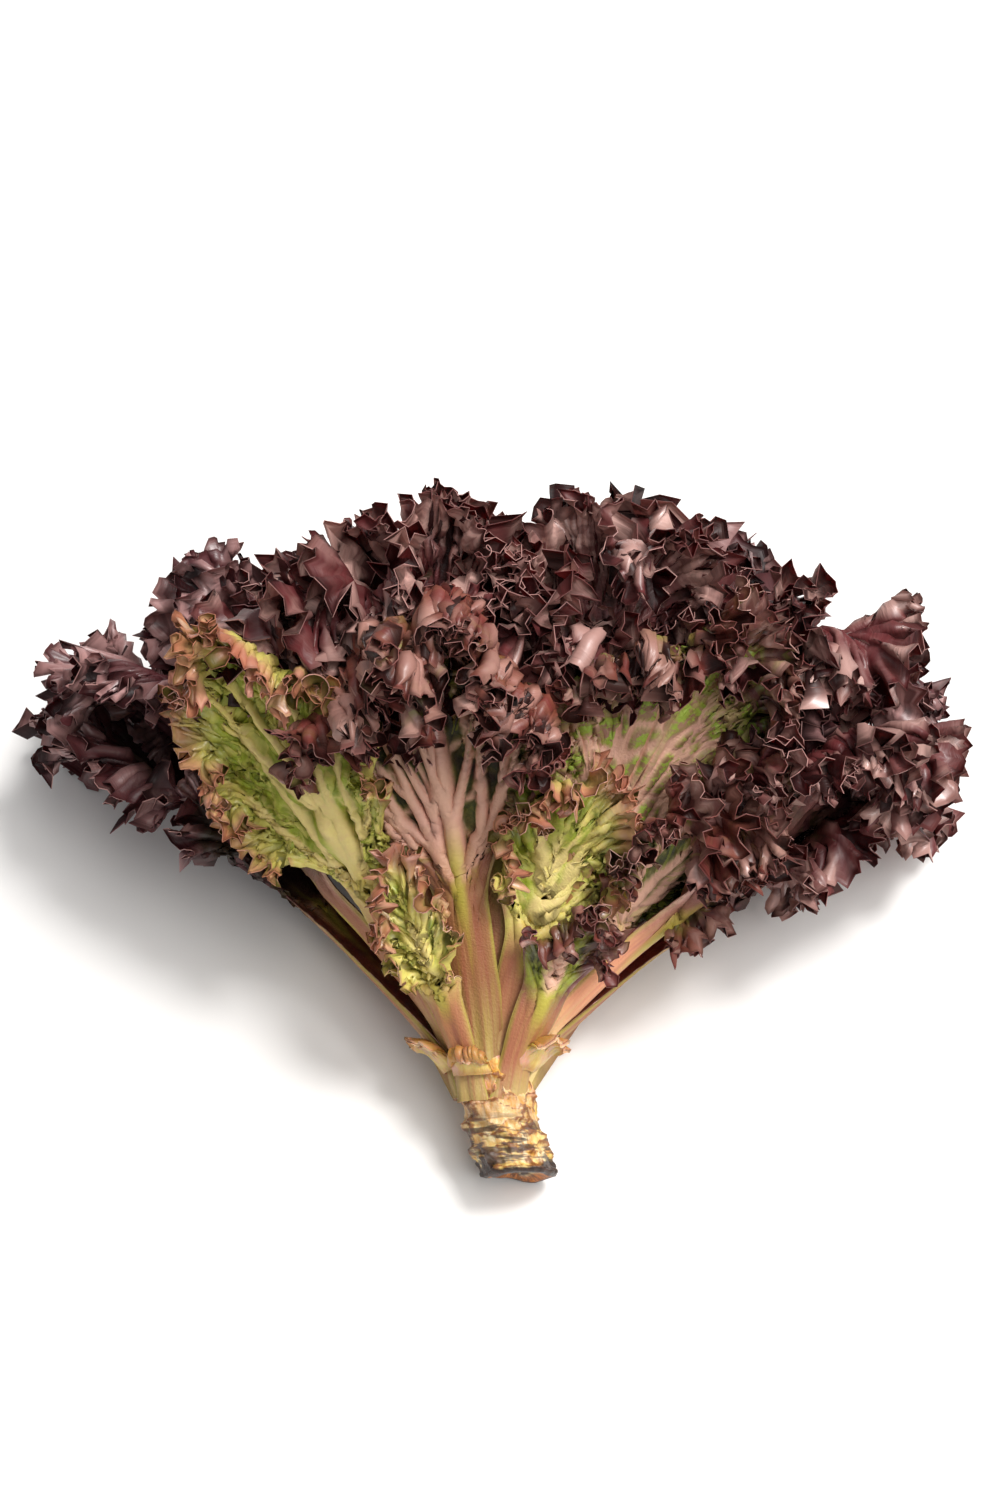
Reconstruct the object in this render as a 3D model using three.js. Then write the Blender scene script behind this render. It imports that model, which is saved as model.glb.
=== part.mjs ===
// A picked head of frilly red leaf lettuce, lying on its side.
//
// Millimetres, +Z up. The head lies on the plane z = 0 with its cut stem towards -Y and its leaf
// tips towards +Y. The origin is at the middle of the footprint, on the plane the head rests on.
//
// Every leaf is a patch of one family of nested surfaces round the stem's axis, so no two leaves
// meet. "nest" is a leaf's place in the family: 1 is the outermost surface and 0 is the axis.
// "turn" is the direction round the axis in degrees: 0 is straight up and 90 is towards +X.
import * as THREE from "three";

const DEGREES = Math.PI / 180;

// ---- Driving dimensions ----
const AXIS_TILT = 17; // degrees, how far the stem's axis points up from the plane
const CROWN = new THREE.Vector3(0, 0, 19.7); // on the axis, where the outermost leaves leave it
const ATTACH_HEIGHT = 42; // the stretch of stem that carries leaves
const STEM_RADIUS = 11; // at the crown
const STEM_TAPER = 0.13; // loss of radius per mm of height
const STEM_TAIL = 32; // bare stem below the crown, down to the cut
const STEM_BEND = 8; // how far the cut end has grown off to +X
const STEM_GAP = 0.35; // clearance between the stem and each leaf
const OPEN_TOP = 34; // degrees, the outermost surface's opening angle straight up
const OPEN_SIDE = 54; // and to either side
const OPEN_LEAN = 4; // and how much more it opens towards +X, and less towards -X
const OPEN_TABLE = 24; // and straight down, where the plane stops it
const FLOOR_SPREAD = 34; // height over which the squashed lower leaves are stacked
const FLOOR_SOFTNESS = 3; // how gradually a leaf bends to lie along the plane
const MAX_WRAP = 75; // degrees, the furthest that half a leaf wraps round the axis
const PRESS = 3.5; // how deep the lowest leaves are pressed flat against the plane

// ---- Leaf build ----
const STALK_HALF_WIDTH = 7.5;
const STALK_SHARE = 0.4; // the share of a leaf's length where its blade starts to widen
const WIDEST_SHARE = 0.92; // and where the blade is widest
const EDGE_DROP = 0.24; // a leaf's sides end this share of its length before its tip
const BLADE_THICKNESS = 1.6;
const STALK_THICKNESS = 4.2;
const FRILL_THICKNESS = 4; // the frilled band stands this much thicker than the blade
const WIDE_LEAF = 50; // on a leaf of this half width, and less on a narrower one
const ROOM_SHARE = 0.36; // a leaf takes up to this share of the way to the next, on each side
const MOST_ROOM = 0.07; // and counts on no more than this step in nest to the next
// Columns across and rows along a leaf: torn stubs, inner leaves, then leaves nearer the outside.
const SCRAP = [4, 4];
const COARSE = [6, 6];
const MEDIUM = [7, 7];
const FINE = [10, 8];

// ---- The stem's own directions ----
const along = new THREE.Vector3(0, Math.cos(AXIS_TILT * DEGREES), Math.sin(AXIS_TILT * DEGREES));
const over = new THREE.Vector3(0, -Math.sin(AXIS_TILT * DEGREES), Math.cos(AXIS_TILT * DEGREES));
const aside = new THREE.Vector3(1, 0, 0);

// ---- Materials ----
const COLOURS = { dark: 0x41202a, red: 0x66303a, bronze: 0x8a6a48, green: 0x93993f, stem: 0xd3b67c };
const finish = (kind, roughness) =>
  new THREE.MeshStandardMaterial({ color: COLOURS[kind], roughness, metalness: 0 });

// ---- Helpers ----
const clamp = (x, low, high) => Math.min(high, Math.max(low, x));

function smoothstep(low, high, x) {
  const t = clamp((x - low) / (high - low), 0, 1);
  return t * t * (3 - 2 * t);
}

function softplus(x) {
  return x > 20 ? x : Math.log1p(Math.exp(x));
}

// ---- The family of nested surfaces ----

// The opening angle, in radians, of the outermost surface in one direction round the axis. The
// free angle above and beside the stem gives way smoothly to the one at which the plane stops it.
function openingAngle(turn) {
  const aslant = OPEN_LEAN * Math.sin(turn);
  const free = (OPEN_TOP + (OPEN_SIDE - OPEN_TOP) * Math.sin(turn) ** 2 + aslant) * DEGREES;
  const down = Math.max(-Math.cos(turn), 0.02);
  const stopped = Math.atan(Math.tan(OPEN_TABLE * DEGREES) / down);
  const sharpness = 7;
  return (free ** -sharpness + stopped ** -sharpness) ** (-1 / sharpness);
}

// How far a leaf has opened after a length s: a little closed at the stem, rolled out at the tip.
function opened(s) {
  return 0.82 + 0.18 * smoothstep(0, 70, s) + 0.22 * smoothstep(95, 190, s);
}

// Radius and height about the axis after a length s along one of the surfaces.
function profile(nest, turn, s) {
  const start = ATTACH_HEIGHT * (1 - nest);
  const angle = openingAngle(turn) * nest;
  const steps = 24;
  let radius = STEM_RADIUS - STEM_TAPER * start + STEM_GAP;
  let height = start;
  for (let i = 0; i < steps; i++) {
    const bend = angle * opened(((i + 0.5) / steps) * s);
    radius += (Math.sin(bend) * s) / steps;
    height += (Math.cos(bend) * s) / steps;
  }
  return { radius, height };
}

// A point of the family in the part's frame.
function place(nest, turn, s) {
  const { radius, height } = profile(nest, turn, s);
  const point = CROWN.clone()
    .addScaledVector(along, height)
    .addScaledVector(over, radius * Math.cos(turn))
    .addScaledVector(aside, radius * Math.sin(turn));
  const settled = smoothstep(0, 60, s);
  const floor = FLOOR_SPREAD * (1 - nest) * settled;
  point.z = floor + FLOOR_SOFTNESS * softplus((point.z - floor) / FLOOR_SOFTNESS);
  point.z = Math.max(0, point.z - PRESS * settled);
  return point;
}

// ---- Leaves ----

// name, turn, nest, length, half width, kind, grid
const LEAF_TABLE = [
  ["torn_leaf_base_middle", -27, 1.1, 16, 5.5, "stem", SCRAP],
  ["torn_leaf_base_left", -80, 1.05, 17, 5, "stem", SCRAP],
  ["torn_leaf_base_right", 58, 1.05, 17, 6, "stem", SCRAP],
  ["leaf_small_right", 38, 1.01, 52, 13, "bronze", FINE],
  ["leaf_small_left", -36, 1.02, 62, 10, "green", FINE],
  ["leaf_left_on_table", -107, 0.985, 162, 48, "dark", FINE],
  ["leaf_right_on_table", 106, 0.98, 160, 50, "red", FINE],
  ["leaf_right_outer", 78, 0.93, 146, 40, "red", FINE],
  ["leaf_left_outer", -52, 0.934, 134, 28, "green", FINE],
  ["leaf_under_middle", 180, 0.93, 156, 52, "dark", MEDIUM],
  ["leaf_front_middle", -16, 0.89, 138, 44, "bronze", FINE],
  ["leaf_under_right", 147, 0.885, 156, 50, "dark", MEDIUM],
  ["leaf_right_middle", 66, 0.882, 100, 26, "red", MEDIUM],
  ["leaf_under_left", -146, 0.8, 154, 50, "dark", MEDIUM],
  ["leaf_green_middle", 27, 0.852, 80, 20, "green", MEDIUM],
  ["leaf_left_side", -88, 0.865, 158, 46, "dark", MEDIUM],
  ["leaf_right_side", 92, 0.8205, 160, 48, "dark", MEDIUM],
  ["leaf_front_right", 48, 0.778, 142, 48, "bronze", FINE],
  ["leaf_left_shoulder", -45, 0.772, 138, 48, "red", FINE],
  ["leaf_under_inner", -178, 0.77, 150, 48, "dark", MEDIUM],
  ["leaf_front_left", -20, 0.72, 140, 46, "red", MEDIUM],
  ["leaf_right_shoulder", 73, 0.735, 155, 46, "red", MEDIUM],
  ["leaf_left_low", -116, 0.62, 150, 46, "dark", MEDIUM],
  ["leaf_right_low", 121, 0.68, 150, 46, "dark", MEDIUM],
  ["leaf_top", 6, 0.677, 124, 46, "red", MEDIUM],
  ["leaf_left_inner", -84, 0.655, 158, 46, "dark", MEDIUM],
  ["leaf_top_right", 38, 0.585, 144, 44, "red", MEDIUM],
  ["leaf_low_left_inner", -150, 0.593, 146, 44, "dark", COARSE],
  ["leaf_low_right_inner", 153, 0.538, 146, 44, "dark", COARSE],
  ["leaf_right_inner", 84, 0.475, 150, 42, "dark", COARSE],
  ["leaf_top_left", -33, 0.51, 136, 42, "red", COARSE],
  ["leaf_heart_left", -99, 0.45, 132, 40, "dark", COARSE],
  ["leaf_heart_top", 14, 0.41, 122, 40, "red", COARSE],
  ["leaf_heart_under", 176, 0.375, 130, 40, "dark", COARSE],
  ["leaf_heart_right", 70, 0.325, 139, 38, "red", COARSE],
  ["leaf_heart_upper_left", -55, 0.28, 130, 36, "red", COARSE],
  ["leaf_heart_lower_right", 122, 0.23, 130, 34, "red", COARSE],
  ["leaf_heart_small_top", -5, 0.18, 116, 30, "red", COARSE],
  ["leaf_heart_small_low", -140, 0.13, 118, 26, "bronze", COARSE],
  ["leaf_heart_core", 60, 0.07, 110, 20, "green", COARSE],
];
const LEAVES = LEAF_TABLE.map(([name, turn, nest, length, halfWidth, kind, grid]) => ({
  name,
  turn: turn * DEGREES,
  nest,
  length,
  halfWidth,
  kind,
  grid,
}));

// Half of a leaf's width at a share t of its length: a stalk, then a fan.
function halfWidth(leaf, t) {
  const widening = smoothstep(STALK_SHARE, WIDEST_SHARE, t);
  return STALK_HALF_WIDTH + (leaf.halfWidth - STALK_HALF_WIDTH) * widening;
}

// How far round the axis a leaf reaches at a share t of its length, across from -1 to 1.
function swing(leaf, across, t) {
  const { radius } = profile(leaf.nest, leaf.turn, t * leaf.length);
  const wrap = MAX_WRAP * DEGREES;
  return wrap * Math.tanh((across * halfWidth(leaf, t)) / (radius * wrap));
}

// Half the thickness, as a step in nest, that a leaf may have at a length s before it nears another.
function room(leaf, s) {
  let least = MOST_ROOM;
  for (const other of LEAVES) {
    if (other === leaf || s > other.length + 12) continue;
    const apart = Math.abs(((other.turn - leaf.turn + 5 * Math.PI) % (2 * Math.PI)) - Math.PI);
    const reach = swing(leaf, 1, s / leaf.length) + swing(other, 1, Math.min(1, s / other.length));
    if (apart < reach + 8 * DEGREES) least = Math.min(least, Math.abs(other.nest - leaf.nest));
  }
  return ROOM_SHARE * least;
}

// A leaf's thickness in mm: a fleshy stalk and midrib, then a blade whose rim is a band of frills.
function thickness(leaf, across, t) {
  const s = t * leaf.length;
  const fleshy = smoothstep(0, 45, s) * (1 - smoothstep(0.3, 0.75, t));
  const rim = Math.max(t, Math.abs(across) * smoothstep(0.35, 0.7, t));
  const frilled = smoothstep(0.6, 0.95, rim) * (leaf.halfWidth / WIDE_LEAF);
  return BLADE_THICKNESS + (STALK_THICKNESS - BLADE_THICKNESS) * fleshy + FRILL_THICKNESS * frilled;
}

// A point of a leaf: across runs from -1 to 1, t from 0 at the stem to 1 at the tip, and side
// from -1 on the inner face to 1 on the outer one.
function leafPoint(leaf, across, t, side) {
  const s = t * leaf.length * (1 - EDGE_DROP * Math.abs(across) ** 2.4);
  const here = leaf.turn + swing(leaf, across, t);
  const step = 0.01;
  const gap = place(leaf.nest + step, here, s).distanceTo(place(leaf.nest - step, here, s)) / (2 * step);
  const half = Math.min(thickness(leaf, across, t) / 2 / Math.max(gap, 1), room(leaf, s));
  return place(leaf.nest + side * half, here, s);
}

function leafMesh(leaf) {
  const [columns, rows] = leaf.grid;
  const geometry = new THREE.BoxGeometry(2, 1, 2, columns, rows, 1);
  const position = geometry.attributes.position;
  for (let i = 0; i < position.count; i++) {
    const point = leafPoint(leaf, position.getX(i), position.getY(i) + 0.5, position.getZ(i));
    position.setXYZ(i, point.x, point.y, point.z);
  }
  geometry.computeVertexNormals();
  const mesh = new THREE.Mesh(geometry, finish(leaf.kind, 0.5));
  mesh.name = leaf.name;
  return mesh;
}

// ---- The stem: a ringed stump with a flat cut at its foot and the growing point at its top ----
function stem() {
  const outline = [
    [0, -STEM_TAIL],
    [STEM_RADIUS - 1.4, -STEM_TAIL],
    [STEM_RADIUS, -STEM_TAIL + 1.4],
    [STEM_RADIUS, -20],
    [STEM_RADIUS - 0.5, -14],
    [STEM_RADIUS, -8],
    [STEM_RADIUS, 0],
    [STEM_RADIUS - STEM_TAPER * 14, 14],
    [STEM_RADIUS - STEM_TAPER * 28, 28],
    [STEM_RADIUS - STEM_TAPER * ATTACH_HEIGHT, ATTACH_HEIGHT],
    [2.5, ATTACH_HEIGHT + 4],
    [0, ATTACH_HEIGHT + 5],
  ].map(([radius, height]) => new THREE.Vector2(radius, height));
  const geometry = new THREE.LatheGeometry(outline, 20);
  const position = geometry.attributes.position;
  for (let i = 0; i < position.count; i++) {
    const below = Math.max(0, -position.getY(i)) / STEM_TAIL;
    const bend = STEM_BEND * below ** 1.5;
    position.setX(i, position.getX(i) + bend);
  }
  geometry.computeVertexNormals();
  const mesh = new THREE.Mesh(geometry, finish("stem", 0.6));
  mesh.name = "stem";
  mesh.rotation.x = AXIS_TILT * DEGREES;
  mesh.position.copy(CROWN);
  return mesh;
}

// ---- The whole head, moved so that the origin is at the middle of its footprint ----
const head = new THREE.Group();
head.add(stem(), ...LEAVES.map(leafMesh));
const footprint = new THREE.Box3().setFromObject(head, true).getCenter(new THREE.Vector3());
head.position.set(-footprint.x, -footprint.y, 0);

export default head;
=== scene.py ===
"""Looks of a picked head of frilly red leaf lettuce (lollo rosso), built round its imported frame.

Lengths in the generators are millimetres in the frame's axes; meshes are made in metres.
"turn" is the direction round the stem's axis in degrees: 0 is straight up and 90 is towards +X.
"nest" is a leaf's place in the family of nested surfaces: 1 is outermost and 0 is the axis.
A leaf's flat coordinates are a, sideways from its midrib, and s, along it from the stem.
"""

import math
from types import SimpleNamespace

import bpy
import numpy as np
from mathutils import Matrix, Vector


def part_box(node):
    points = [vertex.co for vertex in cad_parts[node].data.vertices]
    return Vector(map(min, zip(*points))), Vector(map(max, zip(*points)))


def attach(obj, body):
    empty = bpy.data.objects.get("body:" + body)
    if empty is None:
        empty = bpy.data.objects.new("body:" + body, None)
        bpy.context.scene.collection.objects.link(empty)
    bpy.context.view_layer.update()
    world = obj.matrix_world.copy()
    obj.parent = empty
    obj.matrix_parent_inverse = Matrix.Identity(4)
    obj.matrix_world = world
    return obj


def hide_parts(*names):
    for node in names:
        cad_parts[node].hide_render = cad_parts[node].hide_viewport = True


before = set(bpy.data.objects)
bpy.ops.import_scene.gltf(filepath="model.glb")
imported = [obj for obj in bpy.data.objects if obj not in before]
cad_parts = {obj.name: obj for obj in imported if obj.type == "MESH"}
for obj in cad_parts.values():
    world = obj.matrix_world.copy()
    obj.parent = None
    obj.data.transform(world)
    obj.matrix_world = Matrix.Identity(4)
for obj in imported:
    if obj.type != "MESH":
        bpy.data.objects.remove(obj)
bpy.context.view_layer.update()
MM = 0.001

# ---- The family of nested surfaces, as in the frame ----
AXIS_TILT = math.radians(17)
ATTACH_HEIGHT = 42.0
STEM_RADIUS = 11.0
STEM_TAPER = 0.13
STEM_TAIL = 32.0
STEM_BEND = 8.0
STEM_GAP = 0.35
STEM_TOP = 5.0
OPEN_TOP = 34.0
OPEN_SIDE = 54.0
OPEN_LEAN = 4.0
OPEN_TABLE = 24.0
FLOOR_SPREAD = 34.0
FLOOR_SOFTNESS = 3.0
MAX_WRAP = math.radians(75)
PRESS = 3.5
CROWN_HEIGHT = 19.7
STALK_HALF_WIDTH = 7.5
EDGE_DROP = 0.24
WIDEST_SHARE = 0.92
PROFILE_STEPS = 24

ALONG = np.array([0.0, math.cos(AXIS_TILT), math.sin(AXIS_TILT)])
OVER = np.array([0.0, -math.sin(AXIS_TILT), math.cos(AXIS_TILT)])
ASIDE = np.array([1.0, 0.0, 0.0])

stem_low, stem_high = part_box("stem")
CROWN = np.array([
    stem_low.x / MM + STEM_RADIUS,
    stem_high.y / MM - (ATTACH_HEIGHT + STEM_TOP) * math.cos(AXIS_TILT),
    CROWN_HEIGHT,
])

# ---- How the visible pieces settle on the table ----
FLOOR_LIFT = 0.25
FLOOR_REST = 0.5


# ---- Helpers ----
def smoothstep(low, high, x):
    t = np.clip((x - low) / (high - low), 0, 1)
    return t * t * (3 - 2 * t)


def softplus(x):
    return np.logaddexp(0, x)


def unit(vectors):
    return vectors / np.maximum(np.linalg.norm(vectors, axis=-1, keepdims=True), 1e-9)


def scatter(ix, iy, seed):
    """A repeatable value from 0 to 1 for each pair of whole numbers."""
    h = (ix * 374761393 + iy * 668265263 + seed * 97463477) & 0xFFFFFFFF
    h = ((h ^ (h >> 13)) * 1274126177) & 0xFFFFFFFF
    return ((h ^ (h >> 16)) & 0xFFFF) / 65535.0


def noise(x, y, seed):
    """Smooth noise from -1 to 1 with features about one unit across."""
    x, y = np.broadcast_arrays(np.asarray(x, float), np.asarray(y, float))
    ix, iy = np.floor(x).astype(np.int64), np.floor(y).astype(np.int64)
    fx, fy = x - ix, y - iy
    fx, fy = fx * fx * (3 - 2 * fx), fy * fy * (3 - 2 * fy)
    low = scatter(ix, iy, seed) * (1 - fx) + scatter(ix + 1, iy, seed) * fx
    high = scatter(ix, iy + 1, seed) * (1 - fx) + scatter(ix + 1, iy + 1, seed) * fx
    return 2 * (low * (1 - fy) + high * fy) - 1


def layered(x, y, seed, layers):
    """A sum of noises, each given by its size along x, its size along y, its weight and its salt."""
    return sum(weight * noise(x / wide, y / tall, seed + salt) for wide, tall, weight, salt in layers)


def opening_angle(turn):
    free = np.radians(OPEN_TOP + (OPEN_SIDE - OPEN_TOP) * np.sin(turn) ** 2 + OPEN_LEAN * np.sin(turn))
    down = np.maximum(-np.cos(turn), 0.02)
    stopped = np.arctan(math.tan(math.radians(OPEN_TABLE)) / down)
    return (free**-7 + stopped**-7) ** (-1 / 7)


def profile(nest, turn, s):
    """Radius and height about the axis after a length s along one of the surfaces."""
    start = ATTACH_HEIGHT * (1 - nest)
    angle = opening_angle(turn) * nest
    radius = STEM_RADIUS - STEM_TAPER * start + STEM_GAP
    height = start
    for i in range(PROFILE_STEPS):
        part = (i + 0.5) / PROFILE_STEPS * s
        bend = angle * (0.82 + 0.18 * smoothstep(0, 70, part) + 0.22 * smoothstep(95, 190, part))
        radius = radius + np.sin(bend) * s / PROFILE_STEPS
        height = height + np.cos(bend) * s / PROFILE_STEPS
    return radius, height


def by_axis(height, over, aside):
    """Points at heights up the stem's axis from the crown, and at distances above and beside the axis."""
    return CROWN + ALONG * height[..., None] + OVER * over[..., None] + ASIDE * aside[..., None]


def place(nest, turn, s):
    """Points of the family in the frame, in millimetres."""
    radius, height = profile(nest, turn, s)
    point = by_axis(height, radius * np.cos(turn), radius * np.sin(turn))
    settled = smoothstep(0, 60, s)
    floor = FLOOR_SPREAD * (1 - nest) * settled
    z = floor + FLOOR_SOFTNESS * softplus((point[..., 2] - floor) / FLOOR_SOFTNESS)
    point[..., 2] = np.maximum(0, z - PRESS * settled)
    return point


# ---- Ruffles: a meander whose folds close as omega grows ----
MOST_OMEGA = 1.85
UNEVEN = 0.35  # how much the folds' pace and depth vary
WOBBLE = 2.4  # how far in radians the folds wander from row to row
WOBBLE_SIZE = (11, 8)  # along the margin and inwards
PHASES = np.linspace(0, 2 * math.pi, 129)
OMEGAS = np.linspace(0, 2.1, 43)


def meander_tables():
    """Sideways and upward offsets of a sine-generated curve, per unit of wavelength / 2 pi."""
    heading = OMEGAS[:, None] * np.sin(PHASES)
    step = PHASES[1]

    def running(values):
        middle = (values[:, 1:] + values[:, :-1]) / 2 * step
        return np.concatenate([np.zeros((len(values), 1)), np.cumsum(middle, 1)], 1)

    forward, upward = running(np.cos(heading)), running(np.sin(heading))
    shrink = forward[:, -1:] / (2 * math.pi)
    sideways = forward / shrink - PHASES
    upward = upward / shrink
    return sideways, upward - upward.mean(1, keepdims=True)


SIDEWAYS, UPWARD = meander_tables()


def meander(phase, omega):
    x = np.mod(phase, 2 * math.pi) / PHASES[1]
    y = np.clip(omega, 0, OMEGAS[-2]) / OMEGAS[1]
    ix, iy = np.floor(x).astype(int), np.floor(y).astype(int)
    ix = np.minimum(ix, len(PHASES) - 2)
    fx, fy = x - ix, y - iy

    def look_up(table):
        low = table[iy, ix] * (1 - fx) + table[iy, ix + 1] * fx
        high = table[iy + 1, ix] * (1 - fx) + table[iy + 1, ix + 1] * fx
        return low * (1 - fy) + high * fy

    return look_up(SIDEWAYS), look_up(UPWARD)


# ---- A leaf's flat outline and grid ----
def half_width(leaf, t):
    sheath = leaf.sheath * (1 - smoothstep(0, 0.2, t))
    widening = smoothstep(leaf.neck, WIDEST_SHARE, t)
    stalk = leaf.stalk
    return stalk + sheath + (leaf.half_width - stalk) * widening


def half_outline(leaf):
    """From the stalk's base round to the tip: sideways and lengthwise flat coordinates."""
    t = np.linspace(0, 1, 400)
    side = np.stack([half_width(leaf, t), (1 - EDGE_DROP) * t * leaf.length], -1)
    x = np.linspace(1, 0, 400)
    top = np.stack([x * leaf.half_width, leaf.length * (1 - EDGE_DROP * x**2.4)], -1)
    return np.concatenate([side, top[1:]])


def flat_grid(leaf):
    """Flat coordinates of the leaf's grid: columns run round the outline, rows out to it."""
    outline = half_outline(leaf)
    arc = np.concatenate([[0], np.cumsum(np.linalg.norm(np.diff(outline, axis=0), axis=1))])
    reach = outline[:, 1] / leaf.length
    density = 1 + (leaf.side_crowding - 1) * smoothstep(leaf.bare - 0.05, leaf.bare + 0.1, reach)
    density += (leaf.crowding - leaf.side_crowding) * smoothstep(0.5, 0.72, reach)
    weight = np.concatenate([[0], np.cumsum((density[1:] + density[:-1]) / 2 * np.diff(arc))])
    half = leaf.columns // 2
    at = np.interp(np.linspace(0, weight[-1], half + 1), weight, arc)
    share = at / arc[-1]
    edge = np.stack([np.interp(at, arc, outline[:, 0]), np.interp(at, arc, outline[:, 1])], -1)
    fan = smoothstep(0.12, 0.6, share)
    spine = edge[:, 1] * (1 - fan) + leaf.fan_top * leaf.length * share**1.1 * fan
    edge = np.concatenate([edge * [-1, 1], edge[-2::-1]])
    spine = np.concatenate([spine, spine[-2::-1]])
    at = np.concatenate([at, 2 * arc[-1] - at[-2::-1]])
    return edge, spine, at


ROW_REACH = 58.0


def row_gaps(leaf):
    """Spacing of the rows from the midrib out to the margin, for a leaf ROW_REACH wide."""
    rim, band, blade = leaf.row_steps
    rim_width, band_width = leaf.bands
    gaps = [rim] * round(rim_width / rim) + [band] * round(band_width / band)
    gaps += [blade] * max(3, round((ROW_REACH - sum(gaps)) / blade))
    return gaps[::-1]


def grid_normals(p):
    face = np.cross(p[1:, 1:] - p[:-1, :-1], p[1:, :-1] - p[:-1, 1:])
    n = np.zeros_like(p)
    n[:-1, :-1] += face
    n[1:, :-1] += face
    n[:-1, 1:] += face
    n[1:, 1:] += face
    n[0] += n[0, ::-1]
    return unit(n)


def along_columns(p):
    step = np.empty_like(p)
    step[:, 1:-1] = (p[:, 2:] - p[:, :-2]) / 2
    step[:, 0] = p[:, 1] - p[:, 0]
    step[:, -1] = p[:, -1] - p[:, -2]
    return step


def soften(values, times):
    """Evens out values along the columns."""
    for _ in range(times):
        padded = np.concatenate([values[:, :1], values, values[:, -1:]], 1)
        values = (padded[:, :-2] + 2 * padded[:, 1:-1] + padded[:, 2:]) / 4
    return values


def ruffle(p, sign, phase, size, omega):
    """Folds the surface along its columns into a meander with the given phase, size and depth."""
    normal = grid_normals(p) * sign
    step = along_columns(p)
    length = np.linalg.norm(step, axis=-1)
    shrink = np.clip(soften(length / np.maximum(length[-1:], 1e-6), 3), 0, 1.1)
    sideways, upward = meander(phase, omega)
    sideways, upward = size * shrink * sideways, size * shrink * upward
    return p + sideways[..., None] * unit(step) + upward[..., None] * normal


def teeth(arc, spacing, sharpness, random):
    """Heights of points along the margin, with round gaps between them, and each one's lean."""
    tips = [0.0]
    while tips[-1] < arc[-1] + spacing:
        tips.append(tips[-1] + spacing * random.uniform(0.6, 1.5))
    tips = np.array(tips)
    heights = random.uniform(0.4, 1.3, len(tips))
    leans = random.uniform(-1, 1, len(tips))
    after = np.clip(np.searchsorted(tips, arc, side="right"), 1, len(tips) - 1)
    x = (arc - tips[after - 1]) / (tips[after] - tips[after - 1])
    falling = heights[after - 1] * np.clip(1 - 2 * x, 0, 1) ** sharpness
    rising = heights[after] * np.clip(2 * x - 1, 0, 1) ** sharpness
    lean = np.where(x < 0.5, leans[after - 1], leans[after])
    return falling + rising, lean * (falling + rising)


# ---- Ribs that branch across a leaf, and the net between them ----
RIB_STEP = 3.0
RIB_STRAIGHTENS = 0.09  # how much of the way to its aim a rib turns at each step
RIB_WANDERS = 0.035
RIB_TAPER = 0.978
THINNEST_RIB = 0.45
MOST_SEGMENTS = 900
MOST_FORKS = 4
RIB_NEAR = 9  # how far from a segment the grid is looked at
NET_FOCUS = 0.22  # where the net's rays meet, as a share of the leaf's length
NET_SPAN = math.radians(72)


def grow_ribs(leaf, random):
    """Segments of the branching ribs: start a, start s, end a, end s, half width."""
    length = leaf.length
    segments = []

    def grow(a, s, heading, aim, width, level):
        travelled, fork = 0.0, leaf.fork * random.uniform(0.7, 1.3)
        while s < 0.97 * length and abs(a) < leaf.half_width and len(segments) < MOST_SEGMENTS:
            heading += (aim - heading) * RIB_STRAIGHTENS + random.normal(0, RIB_WANDERS)
            end_a = a + math.sin(heading) * RIB_STEP
            end_s = s + math.cos(heading) * RIB_STEP
            segments.append((a, s, end_a, end_s, width))
            a, s = end_a, end_s
            travelled += RIB_STEP
            width = max(THINNEST_RIB, width * RIB_TAPER)
            if travelled > fork and level < MOST_FORKS:
                spread = random.uniform(0.2, 0.36)
                side = 1 if aim > 0 else -1
                grow(a, s, heading + side * spread, aim + side * spread * 0.8, width * 0.72, level + 1)
                heading, aim, width = heading - side * spread * 0.5, aim - side * spread * 0.35, width * 0.86
                travelled, level, fork = 0.0, level + 1, leaf.fork * random.uniform(0.7, 1.3)

    grow(0.0, 0.1 * length, 0.0, 0.0, leaf.midrib, 1)
    count = leaf.ribs
    for k in range(count):
        share = k / max(count - 1, 1)
        for side in (-1, 1):
            start = (leaf.rib_start + leaf.rib_range * share) * length
            heading = side * (0.22 + 0.1 * share)
            aim = side * (leaf.rib_spread * (1 - share) + 0.12)
            width = leaf.rib_width * (1 - 0.25 * share) * random.uniform(0.85, 1.15)
            grow(side * 1.5, start * random.uniform(0.95, 1.05), heading, aim, width, 0)
    return segments


def rib_field(leaf, a, s, random):
    """How much of a rib each grid point is, from 0 to 1, and the rib's half width there."""
    ribs, widths = np.zeros_like(a), np.full_like(a, 0.5)
    for a0, s0, a1, s1, width in grow_ribs(leaf, random):
        near = (np.abs(a - a0) < RIB_NEAR) & (np.abs(s - s0) < RIB_NEAR)
        pa, ps = a[near] - a0, s[near] - s0
        da, ds = a1 - a0, s1 - s0
        t = np.clip((pa * da + ps * ds) / (da * da + ds * ds), 0, 1)
        distance = np.hypot(pa - t * da, ps - t * ds)
        here = np.clip(1.25 * (1 - (distance / (1.5 * width)) ** 2), 0, 1)
        stronger = here > ribs[near]
        ribs[near] = np.where(stronger, here, ribs[near])
        widths[near] = np.where(stronger, width, widths[near])
    return ribs, widths


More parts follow.
